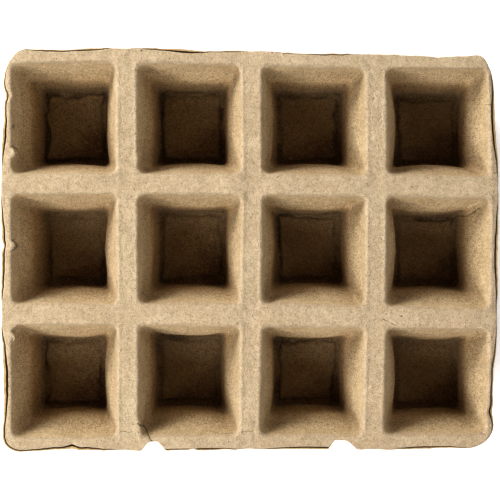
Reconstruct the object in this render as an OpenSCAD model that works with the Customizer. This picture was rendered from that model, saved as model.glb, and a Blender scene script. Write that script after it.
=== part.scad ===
// Moulded-pulp plug tray: a grid of tapered plantable cells under one continuous deck.
// The tray stands on its cell floors at z = 0, its deck is the plane z = tray_h, and
// the origin is the middle of its footprint. +X runs along the four columns, and -Y is
// the front, the edge with the two notches. Each node is one break-apart cell: a cup
// with its own share of the web and flange, cut half-way across the web bars.

/* [Tray] */
// Length of the tray over its end flanges, along X
tray_l = 230; // [226:0.5:240]
// Width of the tray over its front and back flanges, along Y
tray_w = 186; // [181:0.5:196]
// Height from the cell floors' underside to the deck
tray_h = 50; // [38:1:60]
// Thickness of the moulded pulp
pulp_t = 1.8; // [1.4:0.1:2]
// Corner radius of the tray's outline
tray_r = 9; // [6:0.5:12]
// How far the flange bows inward half-way along each cell
edge_bow = 0.9; // [0:0.1:1.4]

/* [Cells] */
// Distance between cell centres along X
pitch_x = 58.2; // [57.5:0.1:59]
// Distance between cell centres along Y
pitch_y = 60.9; // [60:0.1:62]
// Length of a cell's mouth along X, wall to wall at the deck
mouth_l = 48.6; // [47:0.1:49.5]
// Width of a cell's mouth along Y, wall to wall at the deck
mouth_w = 51.6; // [50:0.1:52.5]
// Corner radius of the mouth
mouth_r = 4; // [3:0.5:8]
// How far each wall leans in between the mouth and the floor
wall_lean = 8.4; // [7:0.1:11]
// Corner radius of the cell's inside at its floor
floor_r = 3; // [2.5:0.5:6]
// How far each wall bows into the cell half-way along its side
wall_bow = 1.4; // [0:0.1:2]

/* [Edges] */
// Radius of the rolled lip round each mouth
lip_r = 1.1; // [0.8:0.1:2.6]
// Radius inside the cup where a wall meets the floor
fillet_r = 1; // [1:0.5:4]

/* [Front notches] */
// Distance of each notch from the tray's middle
notch_x = 46; // [40:1:50]
// Width of a notch at the flange's edge
notch_w = 10.5; // [8:0.5:12]
// Width of a notch at its bottom
notch_floor_w = 4.5; // [2:0.5:6]
// Depth of a notch from the flange's edge
notch_depth = 4; // [1:0.1:4.2]

/* [Hidden] */
ROWS = ["a", "b", "c"];   // back row first
COLUMNS = [1, 2, 3, 4];   // left to right

// Front notches, each with the index of the front-row cell that it is cut in
NOTCHES = [[1, -notch_x], [2, notch_x]];

cup_depth = tray_h - pulp_t;                 // deck to the floor's upper face
wall_angle = atan(cup_depth / wall_lean);    // of a wall from the deck's plane
tight_r = 0.3;                               // least bend radius under the lip
WALL_STEPS = [0.35, 0.67];                   // shares of the way down with a ring
overcut = 1;                                 // how far a cutter runs past a face

// Places along one side of a ring, from -1 at one corner to just short of the next.
// They stand closer together near the corners, where the rings are round.
SIDE_STEPS = [-1, -0.85, -0.7, -0.35, 0, 0.35, 0.7, 0.85];

// The ring's points on a square of half side 1, anticlockwise from its front left corner
UNIT_RING = concat(
    [for (s = SIDE_STEPS) [s, -1]],
    [for (s = SIDE_STEPS) [1, s]],
    [for (s = SIDE_STEPS) [-s, 1]],
    [for (s = SIDE_STEPS) [-1, -s]]
);
RING_SIZE = len(UNIT_RING);

// The cup's section at a depth into the pulp, from the deck down to the floor, as
// [inset, height, share]. The inset counts from the mouth's corner line into the cell,
// the height from the deck, and the share is how far down the wall a point is, 0 to 1.
function section(depth) =
    let (
        bend = tan(wall_angle / 2),
        lip = max(tight_r, lip_r - depth),
        foot = fillet_r + depth,
        shift = -depth * bend,
        lip_part = [for (a = [0, wall_angle / 2, wall_angle])
            [shift - lip * bend + lip * sin(a), lip * cos(a) - lip - depth]],
        wall_part = [for (share = WALL_STEPS)
            [shift + wall_lean * share, -cup_depth * share - depth]],
        foot_part = [for (a = [wall_angle, wall_angle / 2, 0])
            [wall_lean + shift + foot * (bend - sin(a)), foot * (1 - cos(a)) - cup_depth - depth]]
    )
    [for (p = concat(lip_part, wall_part, foot_part))
        [p[0], p[1], clamp(-(p[1] + depth) / cup_depth, 0, 1)]];

// How full the bow of the walls is: none at the lip, all from half-way down
function bow_share(share) = sin(min(90, share * 180));

function clamp(value, low, high) = max(low, min(high, value));

// A unit-ring point on a rectangle from low to high with a corner radius
function ring_point(p, low, high, radius) =
    let (
        flat = [
            (high[0] + low[0] + p[0] * (high[0] - low[0])) / 2,
            (high[1] + low[1] + p[1] * (high[1] - low[1])) / 2
        ],
        core = [
            clamp(flat[0], low[0] + radius, high[0] - radius),
            clamp(flat[1], low[1] + radius, high[1] - radius)
        ],
        reach = norm(flat - core)
    )
    reach > 0 ? core + (flat - core) * radius / reach : flat;

// How far a point is pulled in beside the middle of a side
function side_bow(step) = pow(cos(90 * step), 2);

// One ring of a cup: inset from the mouth's corner line at a height below the deck
function cup_ring(inset, height, radius, bow) =
    let (half = [mouth_l / 2 - inset, mouth_w / 2 - inset])
    [for (p = UNIT_RING)
        let (q = ring_point(p, -half, half, radius))
        [
            q[0] - sign(p[0]) * (abs(p[0]) == 1 ? bow * side_bow(p[1]) : 0),
            q[1] - sign(p[1]) * (abs(p[1]) == 1 ? bow * side_bow(p[0]) : 0),
            tray_h + height
        ]
    ];

// The cup's rings at a depth into the pulp, from the lip to the floor
function skin_rings(depth) = [
    for (p = section(depth))
        cup_ring(
            p[0],
            p[1],
            mouth_r + (floor_r - mouth_r) * p[2] + depth,
            wall_bow * bow_share(p[2])
        )
];

// A cell's centre in the tray
function cell_centre(column, row) = [
    (column - (len(COLUMNS) - 1) / 2) * pitch_x,
    ((len(ROWS) - 1) / 2 - row) * pitch_y
];

// The corners of a cell's share of the tray, from its own centre, as [low, high].
// A share ends on the middle of a web bar or at the tray's edge, plus an extra for each.
function share_box(column, row, web_extra, edge_extra) =
    let (
        centre = cell_centre(column, row),
        web = [pitch_x / 2 + web_extra, pitch_y / 2 + web_extra],
        edge = [tray_l / 2 + edge_extra, tray_w / 2 + edge_extra]
    )
    [
        [
            column == 0 ? -edge[0] - centre[0] : -web[0],
            row == len(ROWS) - 1 ? -edge[1] - centre[1] : -web[1]
        ],
        [
            column == len(COLUMNS) - 1 ? edge[0] - centre[0] : web[0],
            row == 0 ? edge[1] - centre[1] : web[1]
        ]
    ];

// The outline of a cell's deck at a height. Sides on the tray's edge bow in and a tray
// corner is rounded. Sides on the web run a little past the cut that ends the share.
function outline_ring(column, row, z) =
    let (
        share = share_box(column, row, overcut, 0),
        left = column == 0,
        right = column == len(COLUMNS) - 1,
        front = row == len(ROWS) - 1,
        back = row == 0
    )
    [for (p = UNIT_RING)
        let (
            x_edge = (p[0] < 0 && left) || (p[0] > 0 && right),
            y_edge = (p[1] < 0 && front) || (p[1] > 0 && back),
            q = ring_point(p, share[0], share[1], x_edge && y_edge ? tray_r : 0)
        )
        [
            q[0] - sign(p[0]) * (x_edge && abs(p[0]) == 1 ? edge_bow * side_bow(p[1]) : 0),
            q[1] - sign(p[1]) * (y_edge && abs(p[1]) == 1 ? edge_bow * side_bow(p[0]) : 0),
            z
        ]
    ];

// Side faces between each ring and the next, two triangles for each step
function band_faces(rings) = [
    for (r = [0 : rings - 2], i = [0 : RING_SIZE - 1])
        let (
            next = (i + 1) % RING_SIZE,
            a = r * RING_SIZE + i,
            b = r * RING_SIZE + next,
            c = a + RING_SIZE,
            d = b + RING_SIZE
        )
        each [[a, b, d], [a, d, c]]
];

// One closed shell: the floor's underside, out to the deck's cut edge, and back down the inside
module cup_with_deck(column, row) {
    under = skin_rings(pulp_t);
    edges = [outline_ring(column, row, tray_h - pulp_t), outline_ring(column, row, tray_h)];
    rings = concat([for (i = [len(under) - 1 : -1 : 0]) under[i]], edges, skin_rings(0));
    count = len(rings);
    polyhedron(
        points = [for (ring = rings) each ring],
        faces = concat(
            [[for (i = [0 : RING_SIZE - 1]) i]],
            [for (f = band_faces(count)) [f[0], f[2], f[1]]],
            [[for (i = [RING_SIZE - 1 : -1 : 0]) (count - 1) * RING_SIZE + i]]
        )
    );
}

// Prism that cuts one notch through the front flange
module notch_cutter() {
    edge = -tray_w / 2;
    slope = (notch_w - notch_floor_w) / 2 / notch_depth;
    translate([0, 0, tray_h - pulp_t - overcut])
        linear_extrude(pulp_t + 2 * overcut)
            polygon([
                [-notch_w / 2 - slope * overcut, edge - overcut],
                [notch_w / 2 + slope * overcut, edge - overcut],
                [notch_floor_w / 2, edge + notch_depth],
                [-notch_floor_w / 2, edge + notch_depth]
            ]);
}

// The block that a cell's share is cut to along the middles of the web bars
module share_block(column, row) {
    share = share_box(column, row, 0, overcut);
    translate([share[0][0], share[0][1], -overcut])
        cube([share[1][0] - share[0][0], share[1][1] - share[0][1], tray_h + 2 * overcut]);
}

// One break-apart cell in its place in the tray
module cell(column, row) {
    centre = cell_centre(column, row);
    front = row == len(ROWS) - 1;
    color("tan")
        difference() {
            translate([centre[0], centre[1], 0])
                intersection() {
                    cup_with_deck(column, row);
                    share_block(column, row);
                }
            for (notch = NOTCHES)
                if (front && notch[0] == column)
                    translate([notch[1], 0, 0])
                        notch_cutter();
        }
}

for (row = [0 : len(ROWS) - 1], column = [0 : len(COLUMNS) - 1])
    cell(column, row);
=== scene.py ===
"""Looks of the moulded-pulp plug tray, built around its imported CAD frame.

The shape is worked out in millimetres and written to Blender in metres. Each CAD cell is
replaced by one closed pulp shell with the same outline: deck, rolled lip, bowed walls and
floor on the felt side, and the screen side a pulp thickness below.
"""
import math
from itertools import product

import bmesh
import bpy
import numpy as np
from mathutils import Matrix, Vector


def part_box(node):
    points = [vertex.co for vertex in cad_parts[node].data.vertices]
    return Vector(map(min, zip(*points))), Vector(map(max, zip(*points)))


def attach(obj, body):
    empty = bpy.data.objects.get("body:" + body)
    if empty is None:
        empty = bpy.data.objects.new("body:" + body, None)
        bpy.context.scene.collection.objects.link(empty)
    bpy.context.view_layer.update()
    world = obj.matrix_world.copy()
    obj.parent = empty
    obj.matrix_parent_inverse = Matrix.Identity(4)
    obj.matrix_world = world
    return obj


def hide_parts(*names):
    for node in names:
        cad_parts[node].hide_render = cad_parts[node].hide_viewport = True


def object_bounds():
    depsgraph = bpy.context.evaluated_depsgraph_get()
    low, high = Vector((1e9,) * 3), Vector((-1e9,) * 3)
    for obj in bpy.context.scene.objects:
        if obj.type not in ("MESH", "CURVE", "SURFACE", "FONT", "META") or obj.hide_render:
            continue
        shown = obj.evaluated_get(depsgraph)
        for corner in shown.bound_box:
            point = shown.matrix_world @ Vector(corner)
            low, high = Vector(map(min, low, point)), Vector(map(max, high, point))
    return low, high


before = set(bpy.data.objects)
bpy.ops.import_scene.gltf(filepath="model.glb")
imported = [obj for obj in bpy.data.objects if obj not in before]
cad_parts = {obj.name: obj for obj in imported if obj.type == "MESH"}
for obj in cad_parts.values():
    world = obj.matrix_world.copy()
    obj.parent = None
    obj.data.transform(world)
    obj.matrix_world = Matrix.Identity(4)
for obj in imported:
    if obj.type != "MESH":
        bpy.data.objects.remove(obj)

CAD_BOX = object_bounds()
SCENE = bpy.context.scene
MM = 0.001

# -------------------- sizes, as in the CAD
PULP = 1.8  # thickness of the pulp
MOUTH = np.array([48.6, 51.6])
MOUTH_R = 4.0
WALL_LEAN = 8.4  # how far a wall leans in from the mouth to the floor
FLOOR_R = 3.0
EDGE_BOW = 0.9

# -------------------- sizes unlike the CAD's
LIP_R = 1.3  # this tray's lips are slightly rounder
TIGHT_R = 0.6  # least bend radius under the lip
FILLET_R = 0.5  # and its floors meet the walls more sharply

# -------------------- mesh density
SIDE = 60  # steps along one side of a ring
RING = 4 * SIDE
OUTLINE_STEPS = 40 * SIDE  # steps that an outline's side is measured along
DECK_RINGS = 8
LIP_RINGS = 9
WALL_RINGS = 36
FILLET_RINGS = 6
SHARP_ANGLE = math.radians(55)

# -------------------- places, from the frame
ROWS = "abc"
COLUMNS = "1234"
TRAY_LOW = np.array(CAD_BOX[0]) / MM
TRAY_HIGH = np.array(CAD_BOX[1]) / MM
DECK = TRAY_HIGH[2]
INNER_LOW, INNER_HIGH = (np.array(corner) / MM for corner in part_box("cell_b2"))
PITCH = (INNER_HIGH - INNER_LOW)[:2]
CUP_DEPTH = DECK - PULP
WALL_ANGLE = math.atan(CUP_DEPTH / WALL_LEAN)
BAR_HALF = (PITCH - MOUTH) / 2

# -------------------- how this tray has dried
# Radii along X and Y of the outline's four corners, which dried unequally
CORNERS = {
    ("left", "back"): (9.5, 18.0),
    ("right", "back"): (7.5, 19.0),
    ("left", "front"): (8.0, 7.5),
    ("right", "front"): (12.0, 11.0),
}
# How far the deck has strayed along X and Y at the back edge, the two cross bars and the
# front edge (rows), and at the left edge, the three long bars and the right edge (columns)
STRAY_X = [
    (0.0, 0.6, 0.8, 1.0, -0.8),
    (0.0, 1.0, 1.2, 1.3, 0.7),
    (0.2, 1.3, 0.8, 0.8, 0.1),
    (0.4, 1.2, 0.0, -0.3, -1.2),
]
STRAY_Y = [
    (0.3, 1.0, -0.6, -1.9, -2.3),
    (0.0, 0.0, -0.2, -0.8, -1.8),
    (-0.2, -0.2, -0.5, -1.5, -2.6),
    (-2.0, -1.5, -0.9, -1.0, -0.3),
]
# The end flanges' edges alone have strayed further: how far, and over what width
LEFT_FLARE = (-1.4, 3)
RIGHT_FLARE = (0.9, 8)
STRAY_FADE = 1.5  # power by which the stray fades out down the cells
# How each cell differs: its floor's shift along X and Y, and growth of its half size
# along X and Y; how far the front, right, back and left walls belly in half-way down; and
# the depth of the sunken channel round the floor's pad
CELLS = {
    "a1": ((0.7, -0.3), (0.4, 1.5), (1.2, 1.2, 0.8, 1.2), 1.3),
    "a2": ((0.4, -0.5), (0.8, 1.3), (1.4, 1.4, 1.2, 1.2), 1.2),
    "a3": ((0.3, -1.0), (0.5, 0.8), (1.8, 1.8, 1.2, 1.2), 0.5),
    "a4": ((0.7, -2.3), (0.3, 0.6), (2.0, 2.2, 0.8, 2.2), 0.4),
    "b1": ((1.0, 0.0), (-0.3, 1.4), (1.6, 1.8, 2.0, 1.4), 0.4),
    "b2": ((0.6, 1.0), (0.9, 1.4), (2.4, 1.4, 1.6, 1.4), 0.6),
    "b3": ((0.3, 0.8), (0.5, 0.4), (2.6, 1.8, 2.0, 1.6), 0.5),
    "b4": ((-0.1, -0.8), (0.0, 0.6), (2.0, 1.8, 2.4, 2.2), 0.5),
    "c1": ((0.0, -0.5), (0.0, 0.4), (2.2, 2.0, 2.2, 1.0), 0.6),
    "c2": ((-1.1, 0.6), (0.3, 0.7), (3.0, 1.8, 2.2, 1.0), 0.4),
    "c3": ((-0.7, 0.0), (0.5, -0.1), (2.4, 2.2, 2.2, 1.4), 0.5),
    "c4": ((0.2, -1.2), (0.3, 0.0), (2.0, 2.2, 1.8, 2.2), 0.3),
}
FLOOR_BOW = 0.6  # how far a floor's sides bow in
BOW_SPREAD = (0.6, 1.5)  # least and greatest share of it on any one side
BOW_SEED = 100
LUMP_SEED = 40
CREASE_DEPTH = 0.55  # of the thin crease at the pad's edge
PAD_RISE = 0.45  # of each floor's pad over its wall's foot
FLOOR_LIFT = 0.6  # and of the whole floor, for each millimetre of its channel's depth
PAD_INSET = 2.2  # from the wall's foot to the pad's edge
PAD_WANDER = [(9.0, 0.9, 0), (3.2, 0.8, 2)]  # of that edge: size, height and step in seed
PAD_SLOPE = 1.2  # width of the pad's edge
CREASE_WIDTH = 0.45
FOOT_MARGIN = 0.6  # width by the wall's foot where the floor's relief fades in
CHANNEL_LEAN = 0.5  # how much deeper a channel is at the front left
CHANNEL_WAVES = (7.0, 0.8)  # size and height of the changes in a channel's depth
CREASE_FROM = 0.3  # least depth of a channel that has a crease
CREASE_PATCHES = (16.0, 1.6)  # size and height of the changes in how far a crease shows
THINNEST = 0.8  # the least pulp that a channel leaves under it
THIN_SOFTNESS = 4  # how sharply a floor stops at that, for each millimetre
# The two broken-out front notches: places along the edge and the depth at each
NOTCHES = [
    ((-51.6, -49.5, -47.9, -46.6, -43.9, -41.7, -40.4), (0.0, 3.1, 4.3, 4.8, 4.1, 1.4, 0.0)),
    ((37.4, 40.8, 42.3, 46.8, 50.4), (0.0, 4.7, 5.5, 3.2, 0.0)),
]
NOTCH_ROUNDING = 0.8  # how far along the edge a notch's corners are rounded
# Sides on the tray's edge unlike the rest: the deckle lip's share of its usual width, and
# how much further the edge bows in
SIDES = {
    ("a1", "left"): (1.3, 0.5),
    ("a3", "back"): (0.7, 0.0),
    ("a4", "back"): (0.0, 0.0),
    ("a4", "right"): (1.2, 0.6),
    ("c1", "left"): (1.35, 0.6),
    ("c1", "front"): (1.4, 0.6),
    ("c2", "front"): (1.0, -0.5),
    ("c3", "front"): (0.8, 0.0),
    ("c4", "front"): (0.8, 0.0),
    ("c4", "right"): (1.0, 0.7),
}
# Sides whose deckle lip runs on round the tray's corner: which end of the side, and the
# least share of its width there
DECKLE_CORNER = {
    ("c1", "left"): (1, 0.6),
    ("c1", "front"): (-1, 0.6),
}


# ==================== noise
# Large odd numbers that scatter the bits of a lattice point, and of the seed
SCATTER = [np.uint32(value) for value in (374761393, 668265263, 2246822519, 3266489917)]
SEED_STEP = 0.37  # how far each seed moves the lattice, in lumps


def lattice_values(cell, seed):
    """One repeatable value from -1 to 1 for each whole-number lattice point."""
    by_x, by_y, by_z, by_seed = SCATTER
    key = cell.astype(np.int64).astype(np.uint32)
    mixed = key[..., 0] * by_x + key[..., 1] * by_y
    mixed += key[..., 2] * by_z + np.uint32(seed * int(by_seed) % 2**32)
    mixed = (mixed ^ (mixed >> np.uint32(15))) * by_z
    mixed = (mixed ^ (mixed >> np.uint32(13))) * by_seed
    mixed ^= mixed >> np.uint32(16)
    return mixed.astype(np.float64) / (2**31) - 1.0


def noise(points, size, seed):
    """Smooth noise from -1 to 1 whose lumps are about this many millimetres apart."""
    q = points / size + SEED_STEP * seed
    cell = np.floor(q)
    part = q - cell
    fade = part * part * part * (part * (part * 6 - 15) + 10)
    total = np.zeros(points.shape[:-1])
    for corner in product((0, 1), repeat=3):
        step = np.array(corner)
        weight = np.prod(np.where(step, fade, 1 - fade), axis=-1)
        total += weight * lattice_values(cell + step, seed)
    return total


def layered(points, layers):
    """The sum of several noises, each given as (size, height, seed)."""
    return sum(height * noise(points, size, seed) for size, height, seed in layers)


def eased(share):
    """A share from 0 to 1 that leaves 0 and reaches 1 gently."""
    return share * share * (3 - 2 * share)


# ==================== rings
def side_bow(step):
    """Share of an edge's bow along it: it leaves the corners gently."""
    return np.cos(np.clip(step, -1, 1) * math.pi / 2) ** 2


def wall_bow(step):
    """Share of a wall's bow along it: a plain arc from corner to corner."""
    return 1 - np.clip(step, -1, 1) ** 2


def unit_ring():
    """Points on a square of half side 1, anticlockwise from its front left corner."""
    s = np.linspace(-1, 1, SIDE + 1)[:-1]
    one = np.ones_like(s)
    sides = [(s, -one), (one, s), (-s, one), (-one, -s)]
    return np.concatenate([np.stack(side, axis=1) for side in sides])


UNIT = unit_ring()
ON_X = np.isclose(np.abs(UNIT[:, 0]), 1)
ON_Y = np.isclose(np.abs(UNIT[:, 1]), 1)


def rounded(points, low, high, radius):
    """Unit points laid on a rectangle with round corners, and the outward directions."""
    flat = (high + low + points * (high - low)) / 2
    core = np.clip(flat, low + radius, high - radius)
    away = (flat - core) / radius
    spoke = away / np.maximum(np.linalg.norm(away, axis=1, keepdims=True), 1e-9)
    outward = spoke / radius
    outward /= np.maximum(np.linalg.norm(outward, axis=1, keepdims=True), 1e-9)
    return core + spoke * radius, outward


# ==================== the pulp's section
def cup_profile(below):
    """The face at a depth into the pulp, from the lip to the floor.

    Each row is the inset from the mouth's corner line, the height from the deck, the tilt
    and the share of the way down the wall.
    """
    bend = math.tan(WALL_ANGLE / 2)
    shift = -below * bend
    lip = max(TIGHT_R, LIP_R - below)
    foot = FILLET_R + below
    rows = []
    for a in np.linspace(0, WALL_ANGLE, LIP_RINGS):
        rows.append((shift + lip * (math.sin(a) - bend), lip * (math.cos(a) - 1) - below, a))
    start = -rows[-1][1] - below
    end = CUP_DEPTH - foot * (1 - math.cos(WALL_ANGLE))
    for depth in np.linspace(start, end, WALL_RINGS + 2)[1:-1]:
        rows.append((shift + WALL_LEAN * depth / CUP_DEPTH, -depth - below, WALL_ANGLE))
    for a in np.linspace(WALL_ANGLE, 0, FILLET_RINGS):
        inset = WALL_LEAN + shift + foot * (bend - math.sin(a))
        rows.append((inset, foot * (1 - math.cos(a)) - CUP_DEPTH - below, a))
    return [(*row, min(1.0, max(0.0, -(row[1] + below) / CUP_DEPTH))) for row in rows]


class Cell:
    """One break-apart cell: where it is, and how its own moulding differs."""

    def __init__(self, row, column):
        self.name = ROWS[row] + COLUMNS[column]
        self.node = "cell_" + self.name
        self.centre = np.array([(column - 1.5) * PITCH[0], (1 - row) * PITCH[1]])
        self.edge = {
            "front": row == 2,
            "right": column == 3,
            "back": row == 0,
            "left": column == 0,
        }
        ends_low = np.array([self.edge["left"], self.edge["front"]])
        ends_high = np.array([self.edge["right"], self.edge["back"]])
        self.low = np.where(ends_low, TRAY_LOW[:2], self.centre - PITCH / 2)
        self.high = np.where(ends_high, TRAY_HIGH[:2], self.centre + PITCH / 2)
        draw = np.random.default_rng(BOW_SEED + 10 * row + column)
        self.bows = FLOOR_BOW * draw.uniform(*BOW_SPREAD, 4)
        drift, grow, bellies, self.channel = CELLS[self.name]
        self.drift, self.grow, self.bellies = map(np.array, (drift, grow, bellies))
        self.seed = LUMP_SEED + 4 * row + column


def cup_skin(cell, below):
    """The cup's rings on the felt side, or this far below it, with their normals."""
    rings, normals = [], []
    for inset, height, tilt, share in cup_profile(below):
        half = MOUTH / 2 - inset + cell.grow * share
        radius = MOUTH_R + (FLOOR_R - MOUTH_R) * share + below
        xy, outward = rounded(UNIT, -half, half, radius)
        belly = math.sin(math.pi * share)
        front, right, back, left = cell.bows * share + cell.bellies * belly
        bow_x = np.where(UNIT[:, 0] > 0, -right, left) * ON_X * wall_bow(UNIT[:, 1])
        bow_y = np.where(UNIT[:, 1] > 0, -back, front) * ON_Y * wall_bow(UNIT[:, 0])
        xy = xy + np.stack([bow_x, bow_y], axis=1) + cell.centre + cell.drift * share**2
        rings.append(np.column_stack([xy, np.full(RING, DECK + height)]))
        up = np.full(RING, math.cos(tilt))
        normals.append(np.column_stack([-outward * math.sin(tilt), up]))
    return np.array(rings), np.array(normals)


# ==================== the outline
def notch_cut(x):
    """How deep the torn front notches cut into the flange, with their corners rounded."""
    near = np.linspace(-NOTCH_ROUNDING, NOTCH_ROUNDING, 5)
    cuts = [np.interp(x + d, places, depths) for places, depths in NOTCHES for d in near]
    return sum(cuts) / len(near)


def outline(cell):
    """The deck's outline: places, outward directions, 1 on the tray's edge and 0 on a cut
    face, and the share of the deckle lip's width."""
    fine = np.linspace(-1, 1, OUTLINE_STEPS + 1)
    one = np.ones_like(fine)
    sides = {
        "front": (fine, -one),
        "right": (one, fine),
        "back": (-fine, one),
        "left": (-one, -fine),
    }
    axis = {"front": (0, -1), "right": (1, 0), "back": (0, 1), "left": (-1, 0)}
    xy, out, edge, deckle = [], [], [], []
    for name, side in sides.items():
        unit = np.stack(side, axis=1)
        path = (cell.high + cell.low + unit * (cell.high - cell.low)) / 2
        normal = np.tile(np.array(axis[name], float), (len(fine), 1))
        deckle_share, extra_bow = SIDES.get((cell.name, name), (1.0, 0.0))
        if cell.edge[name]:
            for (x_name, y_name), radii in CORNERS.items():
                if not (cell.edge[x_name] and cell.edge[y_name]):
                    continue
                x_half = unit[:, 0] < 0 if x_name == "left" else unit[:, 0] > 0
                y_half = unit[:, 1] < 0 if y_name == "front" else unit[:, 1] > 0
                at_corner = (x_half & y_half)[:, None]
                round_path, round_out = rounded(unit, cell.low, cell.high, np.array(radii))
                path = np.where(at_corner, round_path, path)
                normal = np.where(at_corner, round_out, normal)
            pull = (EDGE_BOW + extra_bow) * side_bow(fine)
            path = path - np.array(axis[name]) * pull[:, None]
            if name == "front":
                path[:, 1] += notch_cut(path[:, 0])
        step = np.linalg.norm(np.diff(path, axis=0), axis=1)
        run = np.concatenate([[0], np.cumsum(step)])
        at = np.linspace(0, run[-1], SIDE + 1)[:-1]
        xy.append(np.column_stack([np.interp(at, run, path[:, i]) for i in range(2)]))
        out.append(np.column_stack([np.interp(at, run, normal[:, i]) for i in range(2)]))
        edge.append(np.full(SIDE, float(cell.edge[name])))
        end, least = DECKLE_CORNER.get((cell.name, name), (1, 0.0))
        place = np.interp(at, run, fine)
        kept = np.where(place * end > 0, least, 0.0)
        deckle.append(deckle_share * np.maximum(np.sqrt(side_bow(place)), kept))
    xy, out = np.concatenate(xy), np.concatenate(out)
    edge, deckle = np.concatenate(edge), np.concatenate(deckle)
    names = list(sides)
    for i, name in enumerate(names):  # a cut side's first point ends the edge side before it
        before = names[i - 1]
        if cell.edge[before] and not cell.edge[name]:
            edge[i * SIDE] = 1.0
            out[i * SIDE] = axis[before]
    return xy, out, edge, deckle


# Section of the tray's edge, from the deck down: offset outward and height from the deck,
# then what the deckle lip adds to each where it shows. The felt layer stops first, and past
# a gap the lip of screen-side pulp curls up a little further out.
EDGE_SECTION = [
    (-0.42, 0.0, -0.45, 0.0),
    (-0.14, -0.11, -0.45, 0.0),
    (0.0, -0.4, -0.45, 0.0),
    (-0.06, -0.75, -0.52, 0.0),
    (-0.2, -1.2, -0.75, -0.3),
    (-0.1, -1.35, -0.4, -0.3),
    (0.0, -1.25, 0.05, 0.0),
    (0.05, -1.2, 0.15, 0.75),
    (0.1, -1.35, 0.85, 0.85),
    (0.0, -1.6, 1.05, 0.1),
    (-0.5, -1.8, 0.8, 0.0),
]
GAP_ROWS = (3, 7)  # rows of the section between which the gap lies
LIP_ROWS = (7, 9)  # and between which the deckle lip shows
GAP_SHOWS = 0.3  # share of the deckle lip from which its gap's faces take the painted shade of a dark crack
LEAST_FLAT = 0.15  # the least width of the deck beside a mouth
# Where a pinch has closed the gap again: along X and Y, and the pinch's radius
CLOSED_GAPS = [(-115.4, 1.2, 1.3), (-27.0, -92.3, 0.9)]


def between(first, second, share):
    """The vectors this share of the way from the first to the second."""
    return first * (1 - share)[..., None] + second * share[..., None]


def deck_stray(points):
    """Moves points in place as the tray strayed in drying, fading out down the cells."""
    x_at = np.linspace(-2, 2, 5) * PITCH[0]
    x_at[0], x_at[-1] = TRAY_LOW[0], TRAY_HIGH[0]
    y_at = np.array([TRAY_HIGH[1], PITCH[1] / 2, -PITCH[1] / 2, TRAY_LOW[1]])
    column = np.interp(points[..., 0], x_at, np.arange(5))
    row = np.interp(-points[..., 1], -y_at, np.arange(4))
    left = np.minimum(column.astype(int), 3)
    back = np.minimum(row.astype(int), 2)
    u, v = eased(column - left), eased(row - back)
    grid = np.stack([np.array(STRAY_X), np.array(STRAY_Y)], axis=-1)
    behind = between(grid[back, left], grid[back, left + 1], u)
    ahead = between(grid[back + 1, left], grid[back + 1, left + 1], u)
    move = between(behind, ahead, v)
    left_flare, left_width = LEFT_FLARE
    right_flare, right_width = RIGHT_FLARE
    to_left = np.clip(1 - (points[..., 0] - TRAY_LOW[0]) / left_width, 0, 1)
    to_right = np.clip(1 - (TRAY_HIGH[0] - points[..., 0]) / right_width, 0, 1)
    middle = np.cos(np.clip(points[..., 1] / TRAY_HIGH[1], -1, 1) * math.pi / 2) ** 0.5
    move[..., 0] += (left_flare * to_left + right_flare * to_right) * middle
    depth = np.clip((DECK - points[..., 2]) / CUP_DEPTH, 0, 1)
    points[..., :2] += move * ((1 - depth) ** STRAY_FADE)[..., None]


# The flange bends down a little towards its edge: axis, tray corner and how far
FLANGE_DROOP = [
    (0, TRAY_LOW, 0.3),
    (0, TRAY_HIGH, 0.8),
    (1, TRAY_LOW, 1.0),
    (1, TRAY_HIGH, 0.3),
]
DROOP_WIDTH = 7.0
HOLLOW_FROM = 0.7  # from a mouth's edge to where the deck starts to sink
HOLLOW_SLOPE = 1.7  # and how wide its slope is
HOLLOW_DEPTH = 0.24
DIMPLE_RADIUS = 3.2  # of the dimple where bars cross
DIMPLE_DEPTH = 0.4
RELIEF_FADE = 6  # depth below the lip over which the relief fades out


def deck_relief(xy):
    """Height of the deck's own relief: hollow bars, dimpled crossings, bent flange."""
    grid = xy / PITCH
    off_x = (grid[..., 0] - np.round(grid[..., 0])) * PITCH[0]
    off_y = (grid[..., 1] - 0.5 - np.round(grid[..., 1] - 0.5)) * PITCH[1]
    hollow_x, hollow_y = (
        eased(np.clip((half - HOLLOW_FROM - np.abs(off)) / HOLLOW_SLOPE, 0, 1))
        for half, off in zip(BAR_HALF, (off_x, off_y))
    )
    hollow = 1 - (1 - hollow_x) * (1 - hollow_y)
    dimple = np.exp(-(off_x**2 + off_y**2) / (2 * DIMPLE_RADIUS**2))
    inside = (np.abs(xy[..., 0]) < 1.5 * PITCH[0]) & (np.abs(xy[..., 1]) < PITCH[1])
    droop = np.zeros(xy.shape[:-1])
    for axis, edge, most in FLANGE_DROOP:
        near = np.clip(1 - np.abs(xy[..., axis] - edge[axis]) / DROOP_WIDTH, 0, 1)
        droop = np.maximum(droop, most * near**2)
    return -HOLLOW_DEPTH * hollow - DIMPLE_DEPTH * dimple * inside - droop
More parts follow.
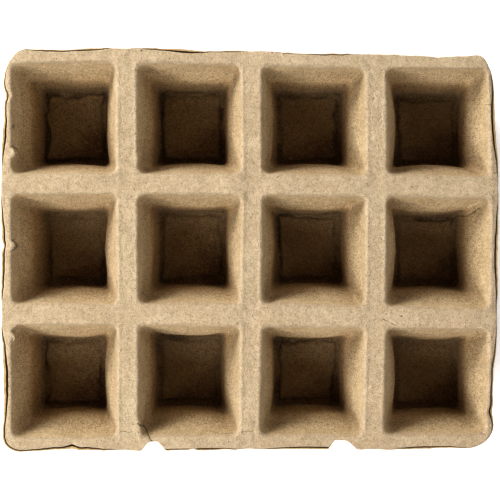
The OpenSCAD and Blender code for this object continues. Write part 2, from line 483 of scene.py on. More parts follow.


# ==================== dents and pushes
# Listed damage: place, radius and push.
PUSHES = [
    ((-114.8, 1.6, 49.0), 1.2, (0.3, 0.0, -0.3)),  # pinch, left flange
    ((-83.2, -92.5, 49.5), 1.6, (0.0, 1.5, -0.5)),  # pinch, front flange
    ((113.0, -76.5, 49.5), 1.8, (-1.1, 0.0, -0.2)),  # nick, front right
    ((-113.5, 72.0, 49.5), 2.0, (1.2, 0.0, -0.2)),  # nick, back left
    ((88.5, 91.5, 49.5), 2.2, (0.0, -0.7, -0.2)),  # nick, back flange
    ((-47.5, -84.0, 49.5), 2.6, (-0.6, -1.2, -0.9)),  # the notch's crease into the lip
    ((-52.8, -84.4, 49.0), 2.6, (1.5, 1.3, 0.0)),  # and the mouth's corner it closes
    ((42.0, -84.5, 49.5), 2.4, (0.0, -0.7, -0.6)),
    ((103.0, 19.0, 44.0), 1.5, (-1.7, -1.6, 0.0)),  # crumpled corner walls
    ((105.6, 16.6, 43.0), 1.2, (1.2, 1.4, 0.0)),
    ((97.0, 17.0, 41.0), 1.6, (0.0, 1.4, 0.0)),
    ((106.5, 20.5, 46.0), 1.2, (0.8, 1.1, 0.0)),
    ((101.0, -43.0, 45.0), 2.0, (-1.4, -0.9, 0.0)),
    ((107.5, -41.0, 46.0), 1.5, (0.9, 0.8, 0.0)),
    ((104.0, -21.0, 44.0), 1.6, (-0.9, 0.9, 0.0)),
    ((-54.5, 1.2, 49.5), 1.2, (0.0, 0.0, 0.5)),  # pinches on the lips, mid bar
    ((4.0, 1.2, 49.5), 1.2, (0.0, 0.0, 0.5)),
    ((62.8, 1.2, 49.5), 1.2, (0.4, 0.0, 0.5)),
    ((-53.0, 42.0, 49.3), 1.5, (0.6, 0.0, 0.4)),
]
# Round knobs pinched out of the left lip: place along Y and how far each reaches
KNOBS = [(45.0, 2.5), (1.6, 2.4), (-41.6, 2.1)]
KNOB_HALF = 2.2  # half of a knob's length along the lip
KNOB_WIDTH = 1.5  # and its width across it
KNOB_RISE = 0.3
KNOB_DEPTH = 5  # how far below the deck the knobs begin
KNOB_FADE = 2  # and the height over which they grow
LEFT_LIP = -112.2  # the lip's place along X
# Cracks and creases in the felt side: how dark each is (how deep it sinks, and how much shade
# is painted along it), and the places along X and Y they join
CRACKS = [
    (0.6, [(-60.4, -85.2), (-55.6, -85.8)]),
    (1.0, [(-52.0, -81.6), (-48.6, -86.2), (-45.6, -90.2)]),  # mouth's corner to notch
    (0.35, [(-18.6, -85.6), (-14.6, -86.6), (-8.0, -86.4)]),
    (0.5, [(-4.6, -85.6), (1.6, -85.2)]),
    (0.6, [(62.6, -33.0), (68.4, -35.8)]),
    (0.5, [(108.2, -86.6), (110.6, -87.0)]),
    (0.5, [(110.8, -43.6), (112.6, -43.8)]),
    (0.6, [(110.6, 67.8), (113.2, 67.4)]),
    (0.3, [(110.8, 0.2), (113.2, 0.4)]),
    (0.9, [(-111.2, 48.2), (-110.0, 47.0), (-109.5, 45.8)]),  # painted shadow beside the knobs
    (0.9, [(-111.4, 4.2), (-110.2, 2.9), (-109.7, 1.6), (-110.2, 0.2), (-111.4, -0.9)]),
    (0.9, [(-110.6, -41.6), (-110.9, -42.6), (-111.8, -43.6)]),
    (0.8, [(97.6, 15.8), (101.8, 14.8), (103.4, 16.4), (105.8, 15.8), (109.5, 19.4)]),
    (0.5, [(101.0, 17.6), (103.6, 18.8), (106.8, 18.2)]),  # crumpled corners
    (0.7, [(107.5, -38.8), (108.9, -40.6)]),
    (0.4, [(103.3, -46.2), (105.1, -43.9), (107.4, -45.3)]),
]
CRACK_RADIUS = 0.6
CRACK_DEPTH = 0.5
CRACK_REACH = 6  # how far below the deck a crack still sinks the surface
SPOTS = [((-110.9, 58.2), (-110.9, 56.8), 0.6)]  # grey specks: from, to and radius


def line_distance(points, start, end):
    """How far points lie from a line between two places, along X and Y."""
    start, along = np.array(start), np.array(end) - np.array(start)
    share = np.clip((points[..., :2] - start) @ along / (along @ along), 0, 1)
    return np.linalg.norm(points[..., :2] - start - share[..., None] * along, axis=-1)


def push_about(points):
    """Applies the listed pushes and sinks the cracks, to points in place."""
    for middle, radius, push in PUSHES:
        apart = np.sum((points - np.array(middle)) ** 2, axis=-1)
        points += np.exp(-apart / (2 * radius**2))[..., None] * np.array(push)
    high = np.clip((points[..., 2] - DECK) / KNOB_FADE + KNOB_DEPTH / KNOB_FADE, 0, 1)
    by_lip = np.exp(-(((points[..., 0] - LEFT_LIP) / KNOB_WIDTH) ** 2)) * high
    for place, reach in KNOBS:
        along = (points[..., 1] - place) / KNOB_HALF
        knob = np.sqrt(np.clip(1 - along**2, 0, 1)) * by_lip
        points[..., 0] += reach * knob
        points[..., 2] += KNOB_RISE * knob
    for dark, chain in CRACKS:
        for start, end in zip(chain, chain[1:]):
            apart = line_distance(points, start, end)
            sunk = dark * CRACK_DEPTH * np.exp(-((apart / CRACK_RADIUS) ** 2))
            points[..., 2] -= sunk * np.clip((points[..., 2] - DECK) / CRACK_REACH + 1, 0, 1)


# ==================== one cell's mesh
SHARED_LUMPS = [(34.0, 0.32, 1), (12.0, 0.32, 2)]  # both sides of the pulp follow these
FELT_LUMPS = [(5.0, 0.18, 3), (2.2, 0.08, 4)]
SCREEN_LUMPS = [(6.0, 0.10, 5), (3.0, 0.05, 6)]
RIM_LUMPS = [(7.0, 0.22, 7), (2.5, 0.16, 8)]  # along the flange's ragged edge
DECKLE_LUMPS = [(14.0, 0.4, 9)]  # how its deckle lip widens and narrows
DECKLE_MEAN = 0.8


def patch_grid(ring):
    """Inner points that fill a ring of SIDE steps a side, as a Coons patch."""
    front = ring[0 : SIDE + 1]
    right = ring[SIDE : 2 * SIDE + 1]
    back = ring[2 * SIDE : 3 * SIDE + 1][::-1]
    left = np.concatenate([ring[3 * SIDE :], ring[:1]])[::-1]
    u = np.linspace(0, 1, SIDE + 1)[None, :, None]
    v = np.linspace(0, 1, SIDE + 1)[:, None, None]
    across = (1 - v) * front[None] + v * back[None]
    along = (1 - u) * left[:, None] + u * right[:, None]
    corners = (
        (1 - u) * (1 - v) * front[0]
        + u * (1 - v) * front[-1]
        + (1 - u) * v * back[0]
        + u * v * back[-1]
    )
    return across + along - corners


def floor_relief(grid, cell):
    """The felt side's floor: a raised pad, with a wavy sunken channel round it."""
    step = np.linspace(-1, 1, SIDE + 1)
    across, along = np.meshgrid(step, step)
    size = np.linalg.norm(grid[0, -1] - grid[0, 0]) / 2
    away = (1 - np.maximum(np.abs(across), np.abs(along))) * size
    wander = layered(grid, [(*lumps, cell.seed + more) for *lumps, more in PAD_WANDER])
    waves = layered(grid, [(*CHANNEL_WAVES, cell.seed + 1)])
    patches = layered(grid, [(*CREASE_PATCHES, cell.seed + 3)])
    vary = 1.0 + waves - CHANNEL_LEAN * (across + along) / 2
    into_pad = away - PAD_INSET - wander
    pad = eased(np.clip(into_pad / PAD_SLOPE, 0, 1))
    keep = np.clip(away / FOOT_MARGIN, 0, 1)
    depth = cell.channel
    shows = np.clip(depth - CREASE_FROM + patches, 0, 1)
    crease = CREASE_DEPTH * np.exp(-((into_pad / CREASE_WIDTH) ** 2)) * shows
    lift = PAD_RISE * pad + FLOOR_LIFT * depth
    return keep * (lift - vary * (depth * (1 - pad) + crease))


def build_shell(cell):
    """Vertices and quads of one cell, and the number of each quad's material."""
    out_xy, out_dir, on_edge, deckle = outline(cell)
    felt, felt_n = cup_skin(cell, 0.0)
    screen, screen_n = cup_skin(cell, PULP)
    mix = np.linspace(0, 1, DECK_RINGS + 1)[:-1, None, None]
    along_edge = np.c_[out_xy, out_xy[:, :1]]
    sliver = on_edge * deckle * (DECKLE_MEAN + layered(along_edge, DECKLE_LUMPS))
    if cell.edge["front"]:
        torn = np.clip(notch_cut(out_xy[:, 0]), 0, 1) * (out_xy[:, 1] < cell.centre[1])
        sliver *= 1 - torn
    for x, y, radius in CLOSED_GAPS:
        apart = np.sum((out_xy - np.array([x, y])) ** 2, axis=1)
        sliver *= 1 - np.exp(-apart / (2 * radius**2))

    def edge_xy(number):
        """One row of the edge's section, kept clear of the mouth where the flange is narrow."""
        offset, _, more, _ = EDGE_SECTION[number]
        mouth = screen[0] if number >= LIP_ROWS[1] else felt[0]
        room = np.sum((out_xy - mouth[:, :2]) * out_dir, axis=1) - LEAST_FLAT
        reach = np.maximum(offset * on_edge + more * sliver, -room * on_edge)
        return out_xy + out_dir * reach[:, None]

    first = edge_xy(0)
    last = edge_xy(len(EDGE_SECTION) - 1)
    up = np.array([0.0, 0.0, 1.0])

    def deck(ring_xy, inner, z):
        """Level rings from the edge's ring in to the mouth's."""
        flat = (1 - mix) * ring_xy[None] + mix * inner[None, :, :2]
        return np.concatenate([flat, np.full(flat.shape[:2] + (1,), z)], axis=2)

    felt_deck = deck(first, felt[0], DECK)
    screen_deck = deck(last, screen[0], DECK - PULP)
    edge = []
    even = np.linspace(0, -PULP, len(EDGE_SECTION))  # heights on a cut face
    for number in range(1, len(EDGE_SECTION) - 1):
        _, height, _, more_height = EDGE_SECTION[number]
        rise = np.where(on_edge > 0, height + more_height * sliver, even[number])
        edge.append(np.column_stack([edge_xy(number), DECK + rise]))
    edge = np.array(edge)

    felt = np.concatenate([felt_deck, felt])
    screen = np.concatenate([screen_deck, screen])
    flat_n = np.broadcast_to(up, felt_deck.shape)
    felt_n = np.concatenate([flat_n, felt_n])
    screen_n = np.concatenate([flat_n, screen_n])
    felt_floor = patch_grid(felt[-1])
    screen_floor = patch_grid(screen[-1])

    def shaped(points, normal, lumps):
        """The points with their lumps, and the deck's relief fading out below the lip."""
        shape = points + normal * layered(points, SHARED_LUMPS + lumps)[..., None]
        fade = np.clip(1 - (DECK - points[..., 2] - PULP) / RELIEF_FADE, 0, 1)
        shape[..., 2] += deck_relief(points[..., :2]) * fade
        return shape

    felt_shape = shaped(felt, felt_n, FELT_LUMPS)
    screen_shape = shaped(screen, screen_n, SCREEN_LUMPS)
    edge_shape = shaped(edge, up, FELT_LUMPS)
    floor_z = layered(felt_floor, SHARED_LUMPS + FELT_LUMPS) + floor_relief(felt_floor, cell)
    felt_floor[..., 2] += floor_z
    over_least = THIN_SOFTNESS * (felt_floor[..., 2] - THINNEST)
    felt_floor[..., 2] = THINNEST + np.logaddexp(0, over_least) / THIN_SOFTNESS
    screen_floor[..., 2] = felt_floor[..., 2] - PULP + layered(screen_floor, SCREEN_LUMPS)

    rim = layered(edge[2:3], RIM_LUMPS)[0] * on_edge
    width = np.linalg.norm(first - felt[DECK_RINGS, :, :2], axis=1)
    ragged = np.maximum(rim, -width / 2)[:, None] * out_dir
    fading = np.linspace(1, 0, DECK_RINGS + 1)[:-1, None, None]
    edge_shape[..., :2] += ragged
    for rings in (felt_shape, screen_shape):
        rings[:DECK_RINGS, :, :2] += fading * ragged

    for points in (felt_shape, screen_shape, edge_shape):
        deck_stray(points)
        push_about(points)
    screen_shape[..., 2] = np.maximum(screen_shape[..., 2], 0)
    screen_floor[..., 2] = np.maximum(screen_floor[..., 2], 0)

    rings = np.concatenate([screen_shape[::-1], edge_shape[::-1], felt_shape])
    ring_count = len(rings)
    verts = [rings.reshape(-1, 3)]
    index = np.arange(ring_count * RING).reshape(ring_count, RING)
    here, there = index[:-1], index[1:]
    nxt = np.roll(here, -1, axis=1)
    nxt_there = np.roll(there, -1, axis=1)
    band = np.stack([here, nxt, nxt_there, there], axis=-1).reshape(-1, 4)
    screen_quads = (len(screen_shape) - 1) * RING
    offset = ring_count * RING

    def patch(grid, ring, flip):
        """Quads that fill a floor's ring. Its inner points join the vertices."""
        nonlocal offset
        inner = grid[1:-1, 1:-1].reshape(-1, 3)
        table = np.zeros((SIDE + 1, SIDE + 1), int)
        table[0, :] = ring[0 : SIDE + 1]
        table[:, -1] = ring[SIDE : 2 * SIDE + 1]
        table[-1, ::-1] = ring[2 * SIDE : 3 * SIDE + 1]
        table[::-1, 0] = np.concatenate([ring[3 * SIDE :], ring[:1]])
        table[1:-1, 1:-1] = offset + np.arange(len(inner)).reshape(SIDE - 1, SIDE - 1)
        offset += len(inner)
        verts.append(inner)
        a, b = table[:-1, :-1], table[:-1, 1:]
        c, d = table[1:, 1:], table[1:, :-1]
        order = [a, d, c, b] if flip else [a, b, c, d]
        return np.stack(order, axis=-1).reshape(-1, 4)

    under = patch(screen_floor, index[0], True)
    over = patch(felt_floor, index[-1], False)
    quads = np.concatenate([under, band, over])
    which = np.zeros(len(quads), np.int32)
    which[: len(under) + screen_quads] = 1
    last_row = len(screen_shape) + len(EDGE_SECTION) - 2
    shows = np.minimum(sliver, np.roll(sliver, -1)) > GAP_SHOWS
    # Material 2 paints shade on the gap's faces, material 3 is the deckle lip's fibre
    for number, (top, low) in ((2, GAP_ROWS), (3, LIP_ROWS)):
        for row in range(last_row - low, last_row - top):
            first_quad = len(under) + row * RING
            which[first_quad : first_quad + RING][shows] = number
    return np.concatenate(verts), quads, which


def make_piece(cell, materials):
    """One cell's shell as an object that takes its CAD node's place."""
    verts, quads, which = build_shell(cell)
    mesh = bpy.data.meshes.new(cell.node + "_pulp")
    mesh.vertices.add(len(verts))
    mesh.vertices.foreach_set("co", (verts * MM).ravel())
    mesh.loops.add(quads.size)
    mesh.loops.foreach_set("vertex_index", quads.ravel())
    mesh.polygons.add(len(quads))
    mesh.polygons.foreach_set("loop_start", np.arange(0, quads.size, 4))
    for material in materials:
        mesh.materials.append(material)
    mesh.polygons.foreach_set("material_index", which)
    mesh.polygons.foreach_set("use_smooth", np.ones(len(quads), bool))
    mesh.update(calc_edges=True)
    mesh.validate()
    mesh.set_sharp_from_angle(angle=SHARP_ANGLE)
    piece = bpy.data.objects.new(cell.node + "_pulp", mesh)
    SCENE.collection.objects.link(piece)
    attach(piece, "root")
    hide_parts(cell.node)


# ==================== materials
class Nodes:
    """Short calls for building a node tree."""

    def __init__(self, material):
        material.use_nodes = True
        self.tree = material.node_tree
        self.tree.nodes.clear()
        self.point = self.tree.nodes.new("ShaderNodeTexCoord").outputs["Object"]

    def feed(self, socket, value):
        """Sets a socket to a fixed value, or links another socket to it."""
        if isinstance(value, (int, float, tuple, Vector)):
            socket.default_value = value
        else:
            self.tree.links.new(value, socket)

    def add(self, kind, attributes=None, **sockets):
        """A new node of this kind. A _ in a socket's name stands for a space."""
        node = self.tree.nodes.new("ShaderNode" + kind)
        for name, value in (attributes or {}).items():
            setattr(node, name, value)
        for name, value in sockets.items():
            self.feed(node.inputs[name.replace("_", " ")], value)
        return node

    def surface(self, **sockets):
        """Makes the material's surface a principled shader with these sockets."""
        skin = self.add("BsdfPrincipled", **sockets)
        self.add("OutputMaterial", Surface=skin.outputs["BSDF"])

    def axis(self, name):
        """The place along X, Y or Z."""
        return self.add("SeparateXYZ", Vector=self.point).outputs[name]

    def by_height(self, low, high, to_low=0.0, to_high=1.0):
        """A smooth step with the height above the ground, in millimetres."""
        return self.ramp(self.axis("Z"), low * MM, high * MM, to_low, to_high)

    def noise(self, size_mm, detail=2.0, rough=0.5, stretch=None, turn=(0, 0, 0)):
        """Noise with lumps of about this size, from 0 to 1."""
        place = self.point
        if stretch:
            mapping = self.add("Mapping", Vector=place, Scale=stretch, Rotation=turn)
            place = mapping.outputs["Vector"]
        scale = 1 / (size_mm * MM)
        node = self.add("TexNoise", Vector=place, Scale=scale, Detail=detail, Roughness=rough)
        return node.outputs["Fac"]

    def ramp(self, source, low, high, to_low=0.0, to_high=1.0, linear=False):
        """The source's place from low to high, as a smooth or straight step."""
        kind = {"interpolation_type": "LINEAR" if linear else "SMOOTHSTEP"}
        ends = {"From_Min": low, "From_Max": high, "To_Min": to_low, "To_Max": to_high}
        return self.add("MapRange", kind, Value=source, **ends).outputs["Result"]

    def math(self, operation, first, second):
        """Maths on two numbers, each a socket or a fixed value."""
        node = self.add("Math", {"operation": operation})
        self.feed(node.inputs[0], first)
        self.feed(node.inputs[1], second)
        return node.outputs["Value"]

    def vector(self, operation, first, second):
        """Vector maths, with each input a socket or fixed values. Scaling takes a factor."""
        node = self.add("VectorMath", {"operation": operation})
        self.feed(node.inputs[0], first)
        self.feed(node.inputs["Scale" if operation == "SCALE" else 1], second)
        number = operation in ("DOT_PRODUCT", "DISTANCE")
        return node.outputs["Value" if number else "Vector"]

    def mix(self, factor, first, second):
        """Blend of two colours, each a socket or an RGB triple."""
        node = self.add("Mix", {"data_type": "RGBA"}, Factor=factor)
        for name, value in (("A", first), ("B", second)):
            socket = next(s for s in node.inputs if s.name == name and s.type == "RGBA")
            self.feed(socket, (*value, 1.0) if isinstance(value, tuple) else value)
        return next(s for s in node.outputs if s.type == "RGBA")

    def laid(self, colour, masks, layers):
        """The colour with others laid over it in turn: a mask's name, share and colour."""
        for name, share, other in layers:
            colour = self.mix(self.math("MULTIPLY", masks[name], share), colour, other)
        return colour


DECK_SPECKLE = 0.22  # share of pale or dark fibre in the fine speckle
DEEP_SPECKLE = 0.62  # and the same deep in the cells
SPECKLE_SIZES = (0.45, 1.5)  # fine and coarse
COARSE_SHARE = 0.3
DRAWN = (1.0, 1.0, 0.22)  # how the walls' speckle is drawn out down them
CRACK_LINE = 0.28  # half the width of the painted shade along a crack, in millimetres
# Heights above the ground between which looks come in, in millimetres
DEEP = (49, 36)  # the speckle's share deep in a cell
LEVEL = (46.8, 48.8)  # the deck's painted light: where its level top is painted paler
SHADED = ((36, 20), (3, 9))  # painted warm bounce light on the lower walls, fading in from above and from below
# heights of the painted shade at each floor's front right
CORNER_SHADE_HEIGHTS = (8, 2)
LOW_SHADE_HEIGHTS = (4.5, 3.2)  # painted shade: the floor's low parts all a little darker
CHANNEL_SHADE_HEIGHTS = (2, 1)  # and painted shade in the floor's channel, darker still
KRAFT = (0.610, 0.466, 0.268)
KRAFT_PALE = (0.730, 0.588, 0.372)
DECK_PAINTED_LIGHT = (0.655, 0.552, 0.430)  # painted light: the level faces paler and greyer, as lit from above
KRAFT_DEEP = (0.325, 0.226, 0.108)
KRAFT_DARK = (0.200, 0.132, 0.062)
OLIVE_FLECK = (0.205, 0.150, 0.066)
RUST_FLECK = (0.340, 0.200, 0.100)
FLANGE_PAINTED_SHADE = (0.600, 0.440, 0.320)  # painted shade on the flange, right and front: darker and pinker
DARK_FLECK = (0.060, 0.040, 0.028)
GREY_SPOT = (0.100, 0.090, 0.095)
PAINTED_SHADE = (0.120, 0.078, 0.040)  # painted shade: darkens the floor's channel and low parts, and the cracks' lines
FLOOR_CORNER_SHADE = (0.185, 0.072, 0.020)  # painted shade, reddish, at the front right of the floors
CORNER_SHADE_WAVES = 14  # how far the edge of that painted shade wanders, in millimetres
CORNER_SHADE_EDGE = (1, 18)  # from a floor's middle to where that painted shade starts, and to where it is full
GAP_SHADE_DARK = (0.110, 0.062, 0.026)  # painted shade in the gap behind the deckle lip
GAP_SHADE_PALE = (0.240, 0.140, 0.060)
GOLDEN = (0.760, 0.590, 0.350)  # the deckle lip's bare, unrubbed fibre
PALE_FIBRE = (0.760, 0.640, 0.470)
WARM_BOUNCE_LIGHT = (0.850, 0.625, 0.335)  # painted warm bounce light on the walls deep in the cells


def crack_mask(n, place, start, end, half_width):
    """1 on a thin line between two places along X and Y, and 0 off it."""
    start = Vector((*start, 0)) * MM
    along = Vector((*end, 0)) * MM - start
    from_start = n.vector("SUBTRACT", place, start)
    share = n.vector("DOT_PRODUCT", from_start, along / along.length_squared)
    share = n.ramp(share, 0, 1, linear=True)
    nearest = n.vector("SCALE", along, share)
    apart = n.vector("DISTANCE", from_start, nearest)
    return n.ramp(apart, half_width * MM, 0.3 * half_width * MM)


def speckled(n, colour, deep):
    """The colour with fine speckle, drawn out down the walls, and its share deep in a cell."""
    fine, coarse = (
        n.ramp(n.noise(size, 1.0, stretch=DRAWN), 0.3, 0.7, -1, 1, linear=True)
        for size in SPECKLE_SIZES
    )
    both = n.math("ADD", fine, n.math("MULTIPLY", coarse, COARSE_SHARE))
    strength = n.by_height(*DEEP, DECK_SPECKLE, deep)
    pale = n.ramp(both, 0, 1, linear=True)
    dark = n.ramp(both, 0, -1, linear=True)
    colour = n.mix(n.math("MULTIPLY", pale, strength), colour, PALE_FIBRE)
    return n.mix(n.math("MULTIPLY", dark, strength), colour, KRAFT_DARK)


def corner_shade_mask(n):
    """1 where shade is painted in the front right of each floor, and 0 elsewhere."""
    local = []
    for name, pitch, cells in (("X", PITCH[0], len(COLUMNS)), ("Y", PITCH[1], len(ROWS))):
        from_low = n.math("ADD", n.axis(name), float(cells * pitch / 2 * MM))
        inside = n.math("MODULO", from_low, float(pitch * MM))
        local.append(n.math("SUBTRACT", inside, float(pitch / 2 * MM)))
    toward = n.math("SUBTRACT", n.math("MULTIPLY", local[0], 0.5), local[1])
    wavy = n.math("MULTIPLY", n.math("SUBTRACT", n.noise(9.0, 2.0), 0.5), CORNER_SHADE_WAVES * MM)
    front_right = n.ramp(n.math("ADD", toward, wavy), *(place * MM for place in CORNER_SHADE_EDGE))
    return n.math("MULTIPLY", front_right, n.by_height(*CORNER_SHADE_HEIGHTS))


def edge_material(name, dark, pale):
    """Rough fibre between two colours: painted shade for the gap, bare fibre for the deckle
    lip.
    """
    material = bpy.data.materials.new(name)
    n = Nodes(material)
    colour = n.mix(n.noise(1.5), dark, pale)
    n.surface(Base_Color=colour, Specular_IOR_Level=0.0, Roughness=1.0)
    return material


# Masks over the pulp: lump size in millimetres, detail, roughness, and the noise values
# between which the mask goes from 0 to 1
MASKS = {
    "blotch": (22.0, 3.0, 0.5, 0.35, 0.68),
    "mottle": (2.4, 3.0, 0.6, 0.32, 0.68),
    "grain": (0.62, 1.0, 0.6, 0.34, 0.66),
    "fleck": (1.0, 1.0, 0.5, 0.66, 0.73),
    "rust": (0.8, 2.0, 0.6, 0.52, 0.68),
    "dark_fleck": (1.9, 1.0, 0.5, 0.765, 0.79),
}
# Fibres lie three ways: how each noise is stretched, and how it is turned, in radians
FIBRES = [
    ((0.10, 1.0, 1.0), (0.3, 0.2, 0.5)),
    ((1.0, 0.10, 1.0), (0.2, 0.5, 0.3)),
    ((1.0, 1.0, 0.10), (0.6, 0.4, 0.2)),
]
# Colours laid over the kraft in turn: the mask, its share and the colour
BODY_LAYERS = [
    # Painted light: the deck's level top paler and greyer
    ("level", 0.68, DECK_PAINTED_LIGHT),
    # Painted shade: the deck's front and right darker and pinker
    ("flange_shade", 0.32, FLANGE_PAINTED_SHADE),
    ("mottle", 0.32, KRAFT_DEEP),
    ("streak", 0.16, KRAFT_DEEP),
    ("grain", 0.42, PALE_FIBRE),
    ("fleck", 0.45, OLIVE_FLECK),
    ("rust", 0.26, RUST_FLECK),
]
FIBRE_LAYERS = [
    ("fibre", 0.45, PALE_FIBRE),
    ("dark_fleck", 0.8, DARK_FLECK),
]
# How far each mask raises the fine surface, and how far the mottle sinks it
BUMPS = [("grain", 0.5), ("streak", 0.6), ("fibre", 0.35)]
MOTTLE_BUMP = -0.5
BUMP_STRENGTH = 0.8
BUMP_DISTANCE = 0.4  # millimetres
WEAVE_SCALE = 350.0  # of the screen's mesh
WEAVE_WAVER = 0.6
WEAVE_BUMP = 0.35
CRACK_WAVER = (1.6, 1.4)  # size and reach of a crack's wavering, in millimetres
# Share of painted shade along the cracks
CRACK_SHADE_SHARE = 0.85
SPOT_SHARE = 0.6
# Share of painted shade over the floors' low parts
LOW_SHADE_SHARE = 0.12
# Share of painted warm bounce light on the lower walls
WARM_SHARE = 0.38


def pulp_masks(n):
    """Where each feature of the pulp's colour shows, by name."""
    masks = {
        name: n.ramp(n.noise(size, detail, rough), low, high)
        for name, (size, detail, rough, low, high) in MASKS.items()
    }
    lying = [n.noise(0.5, 1.0, stretch=stretch, turn=turn) for stretch, turn in FIBRES]
    fibres = n.math("MAXIMUM", n.math("MAXIMUM", lying[0], lying[1]), lying[2])
    masks["fibre"] = n.ramp(fibres, 0.68, 0.76)
    masks["streak"] = n.ramp(n.noise(1.1, 2.0, stretch=(0.12, 0.12, 0.25)), 0.35, 0.65)
    masks["level"] = n.by_height(*LEVEL)
    # Painted shade on the deck, growing towards the front and right
    to_front_right = n.math("SUBTRACT", n.axis("X"), n.math("MULTIPLY", n.axis("Y"), 0.8))
    masks["flange_shade"] = n.math("MULTIPLY", n.ramp(to_front_right, 0.05, 0.17), masks["level"])
    return masks


def painted_light_and_shade(n, colour, masks):
    """Painted light and shade over the colour: shade in the floor's channel, low parts and
    front right, and warm bounce light on the lower walls.
    """
    # Painted shade in the floor's channel, patchy, and a little over the floor's low parts
    patchy = n.ramp(masks["blotch"], 0, 1, 0.85, 0.65)
    channel_shade = n.math("MULTIPLY", n.by_height(*CHANNEL_SHADE_HEIGHTS), patchy)
    channel_shade = n.math("MAXIMUM", channel_shade, n.by_height(*LOW_SHADE_HEIGHTS, 0, LOW_SHADE_SHARE))
    colour = n.mix(channel_shade, colour, PAINTED_SHADE)
    # Painted light: the lower walls warmer and brighter, standing in for light bounced inside
    # the cell
    shaded = n.math("MULTIPLY", *(n.by_height(*heights) for heights in SHADED))
    colour = n.mix(n.math("MULTIPLY", shaded, WARM_SHARE), colour, WARM_BOUNCE_LIGHT)
    # Painted shade at each floor's front right, reddish and patchy
    corner_shade = n.math("MULTIPLY", corner_shade_mask(n), n.ramp(masks["mottle"], 0, 1, 0.78, 0.9))
    return n.mix(corner_shade, colour, FLOOR_CORNER_SHADE)


def crack_shade_and_spots(n, colour):
    """Painted shade along the cracks' lines, and the grey specks, over the colour."""
    size, reach = CRACK_WAVER
    waver = n.add("TexNoise", Vector=n.point, Scale=1 / (size * MM))
    shift = n.vector("SCALE", waver.outputs["Color"], reach * MM)
    flat = n.vector("MULTIPLY", n.vector("ADD", n.point, shift), Vector((1, 1, 0)))
    place = n.vector("SUBTRACT", flat, Vector((reach / 2, reach / 2, 0)) * MM)
    cracks = 0.0
    for dark, chain in CRACKS:
        for start, end in zip(chain, chain[1:]):
            line = crack_mask(n, place, start, end, CRACK_LINE * (0.6 + 0.7 * dark))
            line = n.math("MULTIPLY", line, CRACK_SHADE_SHARE * dark)
            cracks = n.math("MAXIMUM", cracks, line)
    # Painted shade along the cracks
    colour = n.mix(cracks, colour, PAINTED_SHADE)
    for start, end, radius in SPOTS:
        spot = n.math("MULTIPLY", crack_mask(n, place, start, end, radius), SPOT_SHARE)
        colour = n.mix(spot, colour, GREY_SPOT)
    return colour


def screen_weave(n):
    """Two crossed waves: the print of the wire mesh that the pulp was drawn onto."""
    waves = []
    sockets = {"Vector": n.point, "Scale": WEAVE_SCALE, "Distortion": WEAVE_WAVER}
    for axis in "XY":
        bands = {"wave_type": "BANDS", "bands_direction": axis}
        waves.append(n.add("TexWave", bands, **sockets).outputs["Fac"])
    return n.math("ADD", *waves)


def pulp_material(name, screen_side):
    """Moulded kraft pulp: its felt side, or the screen side with the mesh's print."""
    material = bpy.data.materials.new(name)
    n = Nodes(material)
    masks = pulp_masks(n)
    mottle = masks["mottle"]

    colour = n.mix(masks["blotch"], KRAFT, KRAFT_PALE)
    colour = n.laid(colour, masks, BODY_LAYERS)
    if not screen_side:
        # Painted light and shade inside the cells
        colour = painted_light_and_shade(n, colour, masks)
    colour = n.laid(colour, masks, FIBRE_LAYERS)
    if screen_side:
        colour = n.mix(n.ramp(mottle, 0, 1, 0.2, 0.45), colour, KRAFT_DEEP)
        colour = speckled(n, colour, DECK_SPECKLE)
    else:
        colour = speckled(n, colour, DEEP_SPECKLE)
        # Painted shade along the cracks, and grey specks
        colour = crack_shade_and_spots(n, colour)

    height = n.math("MULTIPLY", mottle, MOTTLE_BUMP)
    for feature, share in BUMPS:
        height = n.math("ADD", height, n.math("MULTIPLY", masks[feature], share))
    if screen_side:
        height = n.math("ADD", height, n.math("MULTIPLY", screen_weave(n), WEAVE_BUMP))
    bump = n.add("Bump", Height=height, Strength=BUMP_STRENGTH, Distance=BUMP_DISTANCE * MM)
    n.surface(
        Base_Color=colour,
        Roughness=n.ramp(mottle, 0, 1, 0.84, 0.97),
        Specular_IOR_Level=0.18,
        Sheen_Weight=0.12,
        Sheen_Roughness=0.6,
        Normal=bump.outputs["Normal"],
    )
    return material


# ==================== camera, light and floor, in metres
CAMERA_HEIGHT = 0.72  # above the deck
VIEW_WIDTH = 0.2338  # of the picture, on the deck
FILM = 36.0  # millimetres
CAMERA_XY = (0.0002, -0.0005)
CAMERA_CLIP = (0.01, 20)
FILM_GAMMA = 0.68


def add_camera():
    """A camera straight above the tray, whose picture is VIEW_WIDTH wide at the deck."""
    camera = bpy.data.cameras.new("camera")
    camera.sensor_width = FILM
    camera.lens = FILM * CAMERA_HEIGHT / VIEW_WIDTH
    camera.clip_start, camera.clip_end = CAMERA_CLIP
    holder = bpy.data.objects.new("camera", camera)
    holder.location = (*CAMERA_XY, DECK * MM + CAMERA_HEIGHT)
    SCENE.collection.objects.link(holder)
    SCENE.camera = holder


# Low softboxes round the tray: azimuth (0 is +X and 90 is +Y), elevation and watts.
# The key light stands low at the back left, so it reaches only half-way down the cells.
SOFTBOXES = [
    (135, 12, 1.1),
    (135, 22, 6.5),
    (135, 34, 10.2),
    (90, 12, 2.4),
    (90, 34, 0.9),
    (225, 34, 8.2),
    (225, 50, 3.2),
    (270, 34, 4.2),
    (270, 50, 3.1),
    (0, 14, 1.7),
    (0, 34, 2.5),
    (0, 50, 0.7),
    (45, 34, 1.4),
]
SOFTBOX_SIZE = (0.8, 0.22)
SOFTBOX_DISTANCE = 1.3
ROOM_LIGHT = 0.01


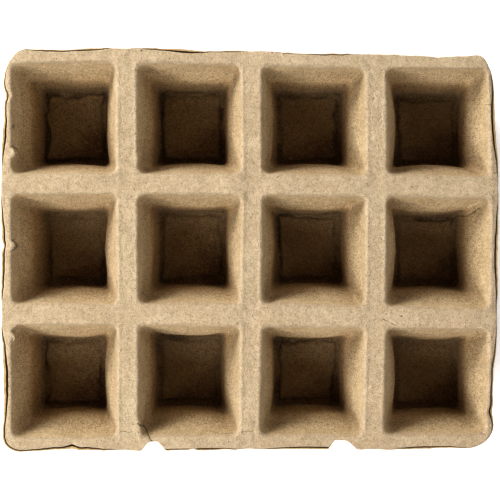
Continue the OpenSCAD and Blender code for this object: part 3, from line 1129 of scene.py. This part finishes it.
def add_softbox(name, azimuth, elevation, watts):
    """A wide area light that looks at the tray."""
    light = bpy.data.lights.new(name, "AREA")
    light.shape = "RECTANGLE"
    light.size, light.size_y = SOFTBOX_SIZE
    light.energy = watts
    holder = bpy.data.objects.new(name, light)
    a, e = math.radians(azimuth), math.radians(elevation)
    away = Vector((math.cos(a) * math.cos(e), math.sin(a) * math.cos(e), math.sin(e)))
    holder.location = away * SOFTBOX_DISTANCE
    holder.rotation_euler = away.to_track_quat("Z", "Y").to_euler()
    SCENE.collection.objects.link(holder)


def add_light():
    """All the softboxes, and a very dim even light from the room."""
    for azimuth, elevation, watts in SOFTBOXES:
        add_softbox(f"softbox_{azimuth}_{elevation}", azimuth, elevation, watts)
    world = bpy.data.worlds.new("studio")
    world.use_nodes = True
    background = world.node_tree.nodes["Background"]
    background.inputs["Color"].default_value = (1, 1, 1, 1)
    background.inputs["Strength"].default_value = ROOM_LIGHT
    SCENE.world = world


FLOOR_RADIUS = 1.15
FLOOR_DROP = 0.0004  # below the tray, so that their faces don't meet
FLOOR_COLOUR = (0.95, 0.95, 0.95, 1)
FLOOR_GLOW = 0.3
BACKDROP_RADIUS = 9.0
BACKDROP_GLOW = 1.0


def stage_object(name, make, **shape):
    """An object built by one bmesh call, and the nodes of its new material."""
    mesh = bpy.data.meshes.new(name)
    built = bmesh.new()
    make(built, **shape)
    built.to_mesh(mesh)
    built.free()
    made = bpy.data.objects.new(name, mesh)
    SCENE.collection.objects.link(made)
    material = bpy.data.materials.new(name)
    mesh.materials.append(material)
    return made, Nodes(material)


def add_floor():
    """A pale round floor that the tray stands on."""
    disc = {"cap_ends": True, "segments": 96, "radius": FLOOR_RADIUS}
    floor, n = stage_object("floor", bmesh.ops.create_circle, **disc)
    floor.location.z = -FLOOR_DROP
    glow = {"Emission_Color": (1, 1, 1, 1), "Emission_Strength": FLOOR_GLOW}
    n.surface(Base_Color=FLOOR_COLOUR, Roughness=0.9, **glow)


def add_backdrop():
    """A pale dome behind everything, which casts no light or shadow on the tray."""
    dome = {"u_segments": 48, "v_segments": 24, "radius": BACKDROP_RADIUS}
    backdrop, n = stage_object("backdrop", bmesh.ops.create_uvsphere, **dome)
    for kind in ("diffuse", "glossy", "transmission", "volume_scatter", "shadow"):
        setattr(backdrop, "visible_" + kind, False)
    glow = n.add("Emission", Strength=BACKDROP_GLOW)
    n.add("OutputMaterial", Surface=glow.outputs["Emission"])


# ==================== assembly
add_camera()
add_light()
add_floor()
add_backdrop()
PULP_SIDES = [
    pulp_material("pulp_felt_side", False),
    pulp_material("pulp_screen_side", True),
    edge_material("pulp_gap_shade", GAP_SHADE_DARK, GAP_SHADE_PALE),
    edge_material("pulp_deckle", KRAFT_DEEP, GOLDEN),
]
for row, column in product(range(len(ROWS)), range(len(COLUMNS))):
    make_piece(Cell(row, column), PULP_SIDES)
SCENE.view_settings.view_transform = "Standard"
SCENE.view_settings.gamma = FILM_GAMMA
